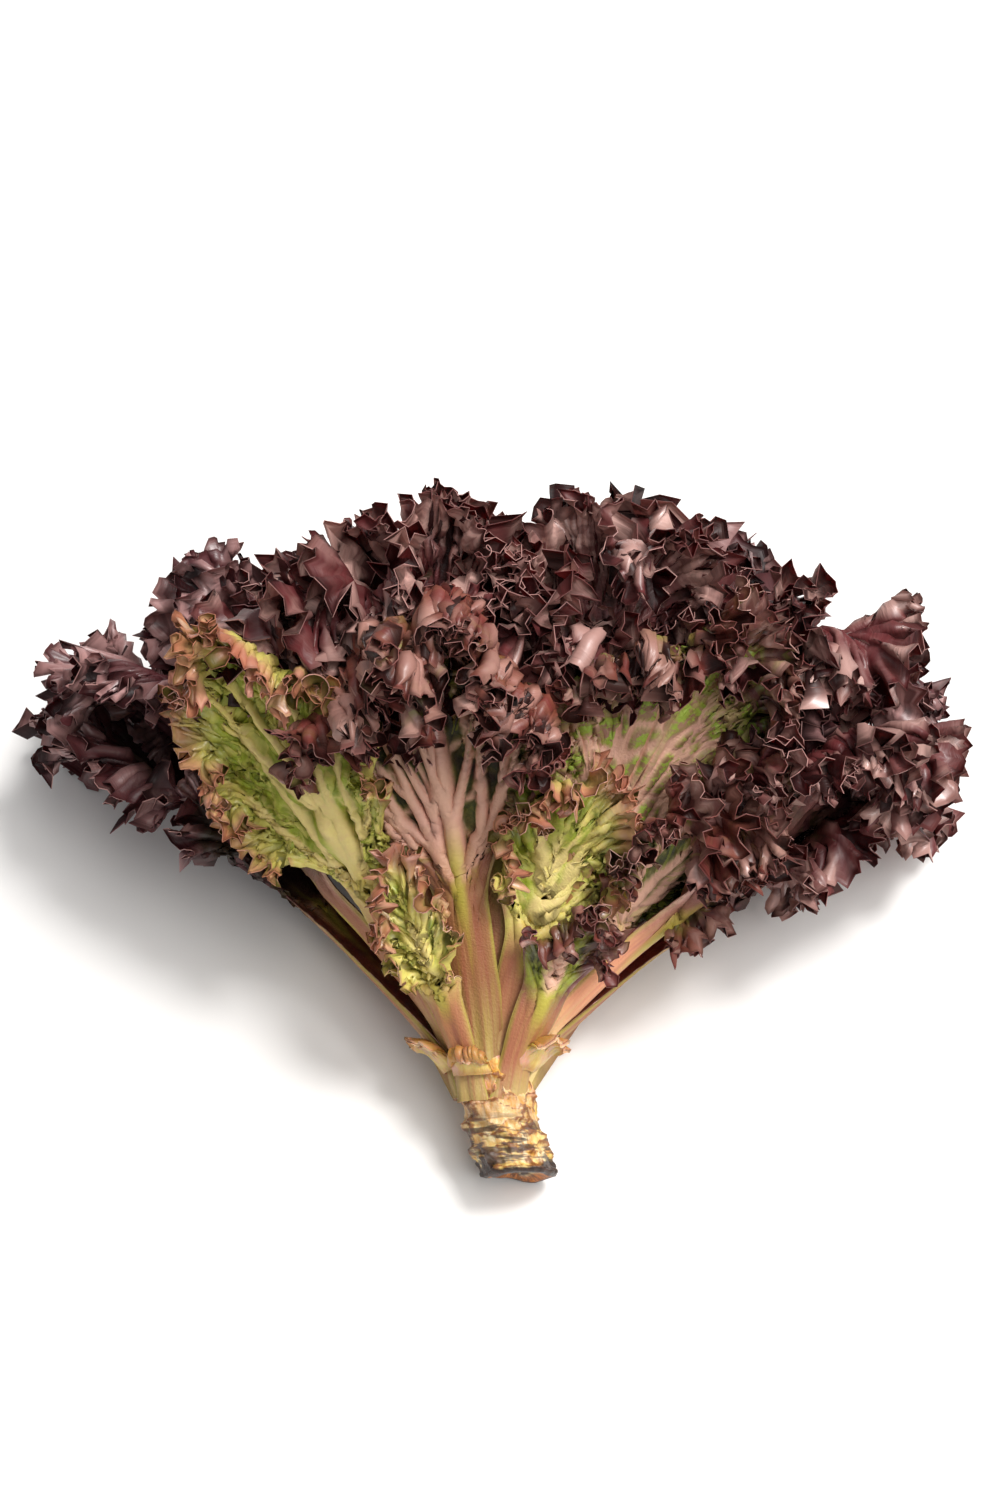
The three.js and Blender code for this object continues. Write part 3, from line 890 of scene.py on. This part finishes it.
def leaf_material(kind):
    blade, flushed, frill, deep, rib, glow, painted_hollow_shade = KINDS[kind]
    t = Tree("leaf_" + kind)
    flat = t.add("Attribute", attribute_name="flat").outputs["Vector"]
    rim, tip, ribs, midrib, pocket = (t.mask(name) for name in ("rim", "tip", "vein", "midrib", "pocket"))
    outside, chance, flush, across = (t.mask(name) for name in ("outside", "chance", "flush", "across"))
    shifted = t.add("VectorMath", {0: flat, 1: t.times(chance, 90.0)}, operation="ADD").outputs["Vector"]
    blotch = t.noise(shifted, 0.07, 3.0, 0.6)
    fine = t.noise(shifted, 0.5, 4.0, 0.65)
    patch = t.noise(shifted, 0.2, 3.0, 0.6)
    petal = t.noise(shifted, 0.26, 2.0, 0.5)

    # The red flush deepens towards the tip and the rim, in uneven patches.
    reach = t.plus(t.times(rim, 0.95), t.times(t.ramp(tip, 0.5, 0.85), 0.4))
    reach = t.plus(reach, t.times(t.math("SUBTRACT", blotch, 0.5), 1.5))
    reach = t.plus(reach, t.math("SUBTRACT", flush, FLUSH_START[kind]))
    # The blade colour of the dark and red kinds is partly their own dark olive-brown and partly painted
    # shade for the gaps deep in the head.
    skin = t.mix(t.ramp(reach, 0.0, 0.4), blade, flushed)
    skin = t.mix(t.ramp(reach, 0.35, 0.85), skin, frill)
    skin = t.over(skin, flushed, 0.4, fine, 0.4, 0.7)
    skin = t.over(skin, blade, PATCHES[kind], patch, 0.55, 0.7)
    # Painted shade in the sunken cells, except on fresh leaves, whose bulging cells keep their own green and
    # pink.
    sunken = t.times(pocket, t.math("SUBTRACT", 1.0, t.times(t.ramp(fine, 0.45, 0.7), 0.25)))
    cell_colour_and_shade = t.mix(t.ramp(patch, 0.4, 0.6), *SUNKEN_CELL_COLOURS_AND_SHADE[kind])
    bulging = t.mix(t.ramp(fine, 0.46, 0.58), "9eb648", "926658")
    bulging = t.mix(t.ramp(patch, 0.5, 0.6), bulging, "a87a6c")
    cell_colour_and_shade = t.mix(t.mask("fresh"), cell_colour_and_shade, bulging)
    skin = t.mix(t.times(sunken, 0.96), skin, cell_colour_and_shade)
    ribbed = t.times(t.times(ribs, t.ramp(rim, 0.25, 0.06)), t.ramp(tip, 0.95, 0.6))
    skin = t.over(skin, rib, RIB_SHOW[kind], ribbed, 0.1, 0.75)

    # The stalk: cream at its foot, then pink, with a yellow-green midrib above.
    streaks = t.noise(t.stretched(shifted, 1.0, 0.06), 0.55, 3.0, 0.6)
    pale = t.mask("pale")
    foot = t.mix(pale, "a88c50", "e8cc8c")
    stalk = t.mix(t.ramp(tip, 0.02, 0.14), foot, t.mix(pale, "92623a", "f0a67c"))
    stalk = t.over(stalk, t.mix(pale, "8e4c34", "d07a6c"), 0.65, streaks, 0.45, 0.7)
    stalk = t.over(stalk, t.mix(pale, "ac9434", "e0c478"), 0.55, streaks, 0.5, 0.25)
    stalk = t.over(stalk, "b9b44e", 0.6, across, 0.8, 1.0)
    skin = t.mix(t.math("SUBTRACT", 1.0, t.ramp(tip, 0.24, 0.46)), skin, stalk)
    lime = t.times(t.ramp(midrib, 0.6, 1.0), t.times(t.ramp(tip, 0.18, 0.3), t.ramp(tip, 0.46, 0.34)))
    skin = t.mix(t.times(lime, 0.7), skin, "c0b846")

    # The inner face is darker. The thin edge of the margin gets painted shade in some patches and a painted
    # highlight, pale pink, in others.
    shade = t.times(t.ramp(reach, 0.1, 0.6), 0.85)
    inner = t.mix(shade, t.mix(0.35, skin, blade), deep)
    skin = t.mix(outside, inner, skin)
    petals = t.times(t.times(t.ramp(petal, 0.47, 0.55), t.ramp(reach, 0.2, 0.7)), t.ramp(tip, 0.35, 0.5))
    skin = t.mix(t.times(petals, 0.55), skin, deep)
    lift = t.mask("lift")
    # Painted shade in the ruffles' hollows, and a painted highlight of the frill colour on their crests.
    skin = t.over(skin, painted_hollow_shade, 0.94, lift, 0.0, -2.4)
    skin = t.mix(t.times(t.times(t.ramp(lift, 0.5, 3.5), t.ramp(reach, 0.1, 0.6)), 0.6), skin, frill)
    # Painted shade and painted highlight on the thin edge walls of the margin.
    edge = t.mask("edge")
    skin = t.mix(t.times(edge, 0.6), skin, t.mix(t.ramp(patch, 0.5, 0.6), deep, "d8a49c"))

    grain = t.plus(t.times(fine, 0.6), t.noise(shifted, 1.7, 2.0))
    normal = t.bump(grain, 0.6, 0.0004)
    rough = t.plus(t.times(fine, 0.35), 0.3)
    body = t.add("BsdfPrincipled", {"Base Color": skin, "Roughness": rough, "Normal": normal})
    body.inputs["Specular IOR Level"].default_value = 0.35
    coat = t.times(t.times(t.ramp(tip, 0.4, 0.7), t.ramp(rim, 0.12, 0.4)), t.math("SUBTRACT", 1.0, edge))
    coat = t.times(t.times(coat, t.ramp(lift, -2.0, 1.0)), t.plus(t.times(outside, 0.6), 0.4))
    t.links.new(t.times(coat, 0.9), body.inputs["Coat Weight"])
    body.inputs["Coat Roughness"].default_value = 0.36
    body.inputs["Coat IOR"].default_value = 2.0
    through = t.add("BsdfTranslucent", {"Color": t.mix(0.6, skin, glow), "Normal": normal})
    share = t.times(t.ramp(rim, 0.1, 0.5), 0.15)
    mixed = t.add("MixShader", {0: share, 1: body.outputs[0], 2: through.outputs[0]})
    return t.finish(mixed.outputs[0])


def torn_material():
    """Fleshy stub: cream and pink, with a yellowed body and a browned, torn rim."""
    t = Tree("torn_base")
    flat = t.add("Attribute", attribute_name="flat").outputs["Vector"]
    rim, tip, scar = t.mask("rim"), t.mask("tip"), t.mask("scar")
    wide = t.noise(flat, 0.16, 3.0)
    fine = t.noise(t.stretched(flat, 1.0, 0.25), 0.9, 4.0, 0.65)
    skin = t.mix(t.ramp(wide, 0.4, 0.65), "dcc070", "d49c88")
    skin = t.over(skin, "c9982e", 0.6, fine, 0.45, 0.75)
    skin = t.over(skin, "c8a42c", 0.8, scar, 0.3, 0.9)
    skin = t.over(skin, "a2601e", 0.7, t.mask("outside"), 0.6, 0.2)
    skin = t.over(skin, "8a4a20", 0.7, t.times(scar, fine), 0.3, 0.5)
    skin = t.mix(t.times(rim, 0.6), skin, "e2b39c")
    skin = t.over(skin, "9a5f2c", 0.55, tip, 0.22, 0.02)
    normal = t.bump(fine, 0.7, 0.0005)
    body = t.add("BsdfPrincipled", {"Base Color": skin, "Roughness": t.plus(t.times(fine, 0.3), 0.25)})
    t.links.new(normal, body.inputs["Normal"])
    body.inputs["Subsurface Weight"].default_value = 0.25
    body.inputs["Subsurface Scale"].default_value = 0.004
    return t.finish(body.outputs[0])


def stem_material():
    """Cream and amber flesh, pink at the top, banded below, with a browned cut and a black rim."""
    t = Tree("stem")
    flat = t.add("Attribute", attribute_name="flat").outputs["Vector"]
    scar, torn, cut, char, foot = (t.mask(name) for name in ("scar", "torn", "cut", "char", "foot"))
    wide = t.noise(flat, 0.14, 3.0, 0.6)
    fine = t.noise(flat, 0.7, 5.0, 0.7)
    streaks = t.noise(t.stretched(flat, 1.0, 0.3), 0.34, 5.0, 0.7)
    bands = t.noise(t.stretched(flat, 0.16, 1.0), 0.42, 3.0, 0.6)
    skin = t.mix(t.ramp(wide, 0.35, 0.6), "f0e2b8", "e6c264")
    skin = t.mix(t.times(t.ramp(foot, 0.7, 0.1), t.ramp(wide, 0.6, 0.4)), skin, "d88e80")
    skin = t.over(skin, "c07a16", 0.85, streaks, 0.46, 0.6)
    skin = t.over(skin, "6e3a14", 0.85, streaks, 0.6, 0.68)
    skin = t.over(skin, "f2e6c6", 0.7, t.times(torn, wide), 0.35, 0.6)
    skin = t.over(skin, "d29a3c", 0.6, t.times(torn, fine), 0.3, 0.55)
    skin = t.over(skin, "7a4018", 0.9, t.times(scar, t.plus(wide, fine)), 0.6, 1.0)
    ringed = t.times(t.ramp(bands, 0.47, 0.55), t.ramp(foot, 0.35, 0.65))
    corky = t.mix(t.ramp(fine, 0.4, 0.6), "3a2c26", "5e463a")
    skin = t.mix(t.times(ringed, 0.9), skin, corky)
    face = t.mix(t.ramp(fine, 0.35, 0.65), "d8822c", "5c2c14")
    face = t.over(face, "e8c890", 0.6, wide, 0.5, 0.7)
    skin = t.mix(t.ramp(cut, 0.3, 0.8), skin, face)
    burnt = t.ramp(t.times(char, t.plus(streaks, 0.45)), 0.35, 0.65)
    skin = t.mix(burnt, skin, t.mix(t.ramp(fine, 0.35, 0.7), "1c120d", "4a2a18"))
    normal = t.bump(t.plus(t.times(fine, 0.7), streaks), 0.8, 0.0006)
    body = t.add("BsdfPrincipled", {"Base Color": skin, "Roughness": t.plus(t.times(fine, 0.35), 0.2)})
    t.links.new(normal, body.inputs["Normal"])
    body.inputs["Subsurface Weight"].default_value = 0.15
    body.inputs["Subsurface Scale"].default_value = 0.003
    return t.finish(body.outputs[0])


# ---- Camera, light and floor ----
CAMERA_ELEVATION = math.radians(58)
CAMERA_DISTANCE = 0.73
CAMERA_AIM = Vector((-0.0024, 0.0239, 0.040))
LENS = 60
SENSOR = 36
FLOOR_HALF = 3.0
SKY = (0.97, 0.98, 1.0, 1)
SKY_STRENGTH = 0.36
# Direction to each light, its spread in the sky in degrees, power and tint
SUNS = {
    "window": ((0.6, -0.1, 1.0), 64, 2.4, (1.0, 0.985, 0.96)),
    "clear_sky": ((0.45, 0.2, 1.0), 16, 2.0, (1.0, 0.99, 0.98)),
}


def make_camera():
    data = bpy.data.cameras.new("camera")
    data.lens = LENS
    data.sensor_width = SENSOR
    camera = bpy.data.objects.new("camera", data)
    bpy.context.scene.collection.objects.link(camera)
    back = Vector((0, -math.cos(CAMERA_ELEVATION), math.sin(CAMERA_ELEVATION)))
    camera.location = CAMERA_AIM + back * CAMERA_DISTANCE
    camera.rotation_euler = (math.pi / 2 - CAMERA_ELEVATION, 0, 0)
    bpy.context.scene.camera = camera


def make_sun(name, towards, spread, power, tint):
    """A far soft light."""
    data = bpy.data.lights.new(name, "SUN")
    data.angle = math.radians(spread)
    data.energy = power
    data.color = tint
    light = bpy.data.objects.new(name, data)
    light.location = towards
    light.rotation_euler = Vector(towards).to_track_quat("Z", "Y").to_euler()
    bpy.context.scene.collection.objects.link(light)


def make_stage():
    mesh = bpy.data.meshes.new("floor")
    corners = [(x * FLOOR_HALF, y * FLOOR_HALF, 0) for x, y in ((-1, -1), (1, -1), (1, 1), (-1, 1))]
    mesh.from_pydata(corners, [], [(0, 1, 2, 3)])
    floor = bpy.data.objects.new("floor", mesh)
    bpy.context.scene.collection.objects.link(floor)
    t = Tree("floor")
    body = t.add("BsdfPrincipled", {"Base Color": "f2f0ee", "Roughness": 0.6})
    mesh.materials.append(t.finish(body.outputs[0]))
    world = bpy.data.worlds.new("world")
    world.use_nodes = True
    background = world.node_tree.nodes["Background"]
    background.inputs["Color"].default_value = SKY
    background.inputs["Strength"].default_value = SKY_STRENGTH
    bpy.context.scene.world = world
    for name, sun in SUNS.items():
        make_sun(name, *sun)
    bpy.context.scene.view_settings.view_transform = "Standard"


# ---- The leaves ----
# Columns of the grid; steps between the rows at the rim, next to it and in the blade; the widths of the
# first two bands; and the distances from the margin past which the columns thin out
DETAIL = {
    "hero": (2112, (2.0, 2.3, 1.4), (6, 17), (9, 16, 26, 36)),
    "near": (1504, (2.2, 3.0, 3.2), (7, 18), (10, 17, 28, 40)),
    "small": (512, (2.0, 2.6, 3.6), (6, 13), (5, 13)),
    "mid": (1072, (2.2, 3.0, 4.4), (7, 18), (5, 13, 28, 40)),
    "far": (416, (2.6, 3.8, 8.5), (6, 15), (5, 14, 30)),
}
# Ruffles, largest first: wavelength when folded, depth, width of the frilled band, how fast they fade
# inwards, salt
FINE_RUFFLES = [
    (20.0, 0.8, 54.0, 0.7, 11),
    (8.8, 1.3, 46.0, 0.5, 21),
    (5.0, 1.25, 28.0, 0.5, 31),
]
SMALL_RUFFLES = [
    (17.0, 0.5, 40.0, 0.8, 11),
    (8.8, 1.2, 34.0, 0.6, 21),
    (5.4, 1.2, 24.0, 0.6, 31),
]
COARSE_RUFFLES = [
    (30.0, 1.05, 70.0, 0.8, 11),
    (13.0, 1.5, 38.0, 0.6, 21),
    (8.0, 1.0, 18.0, 0.8, 31),
]
# What all leaves share: lengths in millimetres, angles of the roll in degrees, the rest shares or weights
COMMON = dict(
    stretch=1.06, sheath=2.0, stalk=STALK_HALF_WIDTH, neck=0.42, fan_top=0.74,
    crowding=4.5, side_crowding=3.2, bare=0.55, side_band=0.7, frill_size=1.0,
    frill_band=1.0, crinkle=0.9, tooth=3.0, tooth_gap=4.6, lobe=3.2,
    lobe_gap=11.0, roll=80, roll_swing=95, roll_gap=8.0, cuff=(17.0, 22.0),
    relief=0.6, sink=1.0, rib_end=26.0, thickness=2.0, midrib=2.6, ribs=3,
    rib_start=0.26, rib_range=0.3, rib_spread=0.85, rib_width=1.3, fork=24.0,
    cell=(7.0, 4.0), net=0.75, net_width=0.14, blister=0.9, flush=0.0, pale=0.3,
    fresh=0.0, ruffles=FINE_RUFFLES,
)
# The outer leaves' bases run down onto the stump
OUTER_NEST = 0.84
BASE_DROP = 11.0
# name, turn, nest, length, half width, kind, detail
LEAVES = [
    ("leaf_small_right", 38, 1.01, 52, 13, "bronze", "small"),
    ("leaf_small_left", -36, 1.02, 62, 10, "green", "small"),
    ("leaf_left_on_table", -107, 0.985, 162, 48, "dark", "near"),
    ("leaf_right_on_table", 106, 0.98, 160, 50, "red", "mid"),
    ("leaf_right_outer", 78, 0.93, 146, 40, "red", "near"),
    ("leaf_left_outer", -52, 0.934, 134, 28, "green", "hero"),
    ("leaf_under_middle", 180, 0.93, 156, 52, "dark", "far"),
    ("leaf_front_middle", -16, 0.89, 138, 44, "bronze", "hero"),
    ("leaf_under_right", 147, 0.885, 156, 50, "dark", "far"),
    ("leaf_right_middle", 66, 0.882, 100, 26, "bronze", "near"),
    ("leaf_under_left", -146, 0.8, 154, 50, "dark", "far"),
    ("leaf_green_middle", 27, 0.852, 80, 20, "green", "mid"),
    ("leaf_left_side", -88, 0.865, 158, 46, "dark", "near"),
    ("leaf_right_side", 92, 0.8205, 160, 48, "dark", "mid"),
    ("leaf_front_right", 48, 0.778, 142, 48, "bronze", "hero"),
    ("leaf_left_shoulder", -45, 0.772, 138, 48, "red", "mid"),
    ("leaf_under_inner", -178, 0.77, 150, 48, "dark", "far"),
    ("leaf_front_left", -20, 0.72, 140, 46, "red", "near"),
    ("leaf_right_shoulder", 73, 0.735, 155, 46, "red", "near"),
    ("leaf_left_low", -116, 0.62, 150, 46, "dark", "far"),
    ("leaf_right_low", 121, 0.68, 150, 46, "dark", "far"),
    ("leaf_top", 6, 0.677, 124, 46, "red", "near"),
    ("leaf_left_inner", -84, 0.655, 158, 46, "dark", "mid"),
    ("leaf_top_right", 38, 0.585, 144, 44, "red", "near"),
    ("leaf_low_left_inner", -150, 0.593, 146, 44, "dark", "far"),
    ("leaf_low_right_inner", 153, 0.538, 146, 44, "dark", "far"),
    ("leaf_right_inner", 84, 0.475, 150, 42, "dark", "mid"),
    ("leaf_top_left", -33, 0.51, 136, 42, "red", "mid"),
    ("leaf_heart_left", -99, 0.45, 132, 40, "dark", "far"),
    ("leaf_heart_top", 14, 0.41, 122, 40, "red", "far"),
    ("leaf_heart_under", 176, 0.375, 130, 40, "dark", "far"),
    ("leaf_heart_right", 70, 0.325, 139, 38, "red", "far"),
    ("leaf_heart_upper_left", -55, 0.28, 130, 36, "red", "far"),
    ("leaf_heart_lower_right", 122, 0.23, 130, 34, "red", "far"),
    ("leaf_heart_small_top", -5, 0.18, 116, 30, "red", "far"),
    ("leaf_heart_small_low", -140, 0.13, 118, 26, "bronze", "far"),
    ("leaf_heart_core", 60, 0.07, 110, 20, "green", "far"),
]
# What sets single leaves apart from the common shape
OWN = {
    "leaf_top_left": dict(stretch=1.02),
    "leaf_top_right": dict(stretch=1.02),
    "leaf_heart_right": dict(stretch=1.0),
    "leaf_heart_upper_left": dict(stretch=1.0),
    "leaf_left_side": dict(
        stretch=1.04, roll=40, roll_swing=80, frill_size=0.9, frill_band=0.8, lobe=6.0,
        lobe_gap=14.0, blister=1.2, flush=-0.2,
    ),
    "leaf_left_inner": dict(stretch=0.97),
    "leaf_right_inner": dict(stretch=0.98),
    "leaf_right_side": dict(stretch=1.02),
    "leaf_small_right": dict(
        neck=0.5, bare=0.58, rib_width=1.0, midrib=1.8, stalk=7.0, frill_size=0.6,
        frill_band=0.5, flush=-0.25, cuff=(6.0, 8.0),
    ),
    "leaf_small_left": dict(
        neck=0.3, bare=0.3, rib_width=1.0, midrib=1.8, stalk=5.0, frill_size=0.6,
        frill_band=0.5, cuff=(6.0, 8.0),
    ),
    "leaf_left_outer": dict(
        neck=0.5, bare=0.42, rib_width=1.0, fork=16.0, frill_size=0.85, side_band=1.0,
        sink=1.2, relief=0.8, net=0.4, blister=2.8, roll=70, cuff=(11.0, 14.0),
        frill_band=0.6, crinkle=1.2, ribs=2, ruffles=SMALL_RUFFLES,
    ),
    "leaf_right_outer": dict(neck=0.55, bare=0.46, pale=1.0),
    "leaf_left_on_table": dict(
        neck=0.5, bare=0.42, roll=30, roll_swing=70, frill_size=0.85, frill_band=0.7,
        lobe=7.0, lobe_gap=15.0, tooth=3.6, blister=1.4, flush=-0.45,
    ),
    "leaf_right_on_table": dict(neck=0.5, bare=0.42, stretch=1.0),
    "leaf_right_middle": dict(
        bare=0.45, frill_size=0.8, frill_band=0.8, flush=-0.02, ribs=1, net=0.3,
    ),
    "leaf_green_middle": dict(
        bare=0.45, frill_size=0.8, frill_band=0.5, ribs=2, rib_spread=0.6, rib_width=0.8,
        cuff=(9.0, 12.0), net=0.4, blister=2.2, side_band=1.0, crinkle=1.2,
        ruffles=SMALL_RUFFLES,
    ),
    "leaf_front_middle": dict(
        neck=0.36, bare=0.5, fan_top=0.64, ribs=5, rib_start=0.18, rib_range=0.26,
        rib_spread=0.9, rib_width=1.2, midrib=2.2, fork=15.0, cell=(14.0, 8.0),
        net=0.6, net_width=0.16, sink=4.0, relief=1.2, side_band=0.5, rib_end=28.0,
        roll=118, roll_swing=35, cuff=(25.0, 18.0), stretch=1.08, flush=0.2,
        frill_band=1.15, pale=0.1, crinkle=1.4, seed=352,
    ),
    "leaf_front_right": dict(
        neck=0.4, bare=0.5, fan_top=0.66, ribs=2, rib_start=0.3, rib_range=0.2,
        rib_spread=0.75, rib_width=0.75, midrib=1.4, fork=22.0, cell=(12.0, 9.0),
        fresh=1.0, net=0.95, net_width=0.22, sink=-2.6, relief=0.9, side_band=0.6,
        flush=-0.1, roll_swing=80, cuff=(14.0, 14.0), stretch=0.98, half_width=38,
        frill_band=0.5,
    ),
}


def add_piece(piece, node, material):
    piece.data.materials.append(material)
    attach(piece, "root")
    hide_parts(node)


def make_leaves():
    materials = {kind: leaf_material(kind) for kind in KINDS}
    for number, (name, turn, nest, length, width, kind, detail) in enumerate(LEAVES):
        leaf = SimpleNamespace(name=name, turn=turn, nest=nest, half_width=width, seed=number * 7 + 3)
        vars(leaf).update(COMMON, **dict(zip(("columns", "row_steps", "bands", "coarser"), DETAIL[detail])))
        if detail == "far":
            leaf.ruffles = COARSE_RUFFLES
        vars(leaf).update(OWN.get(name, {}))
        leaf.length = length * leaf.stretch
        leaf.drop = BASE_DROP if nest > OUTER_NEST else 0.0
        add_piece(build_leaf(leaf), name, materials[kind])


def make_stump():
    add_piece(build_stem(), "stem", stem_material())
    torn = torn_material()
    for name, *shape in STUBS:
        add_piece(build_torn_base(name, *shape), name, torn)


make_camera()
make_stage()
make_leaves()
make_stump()
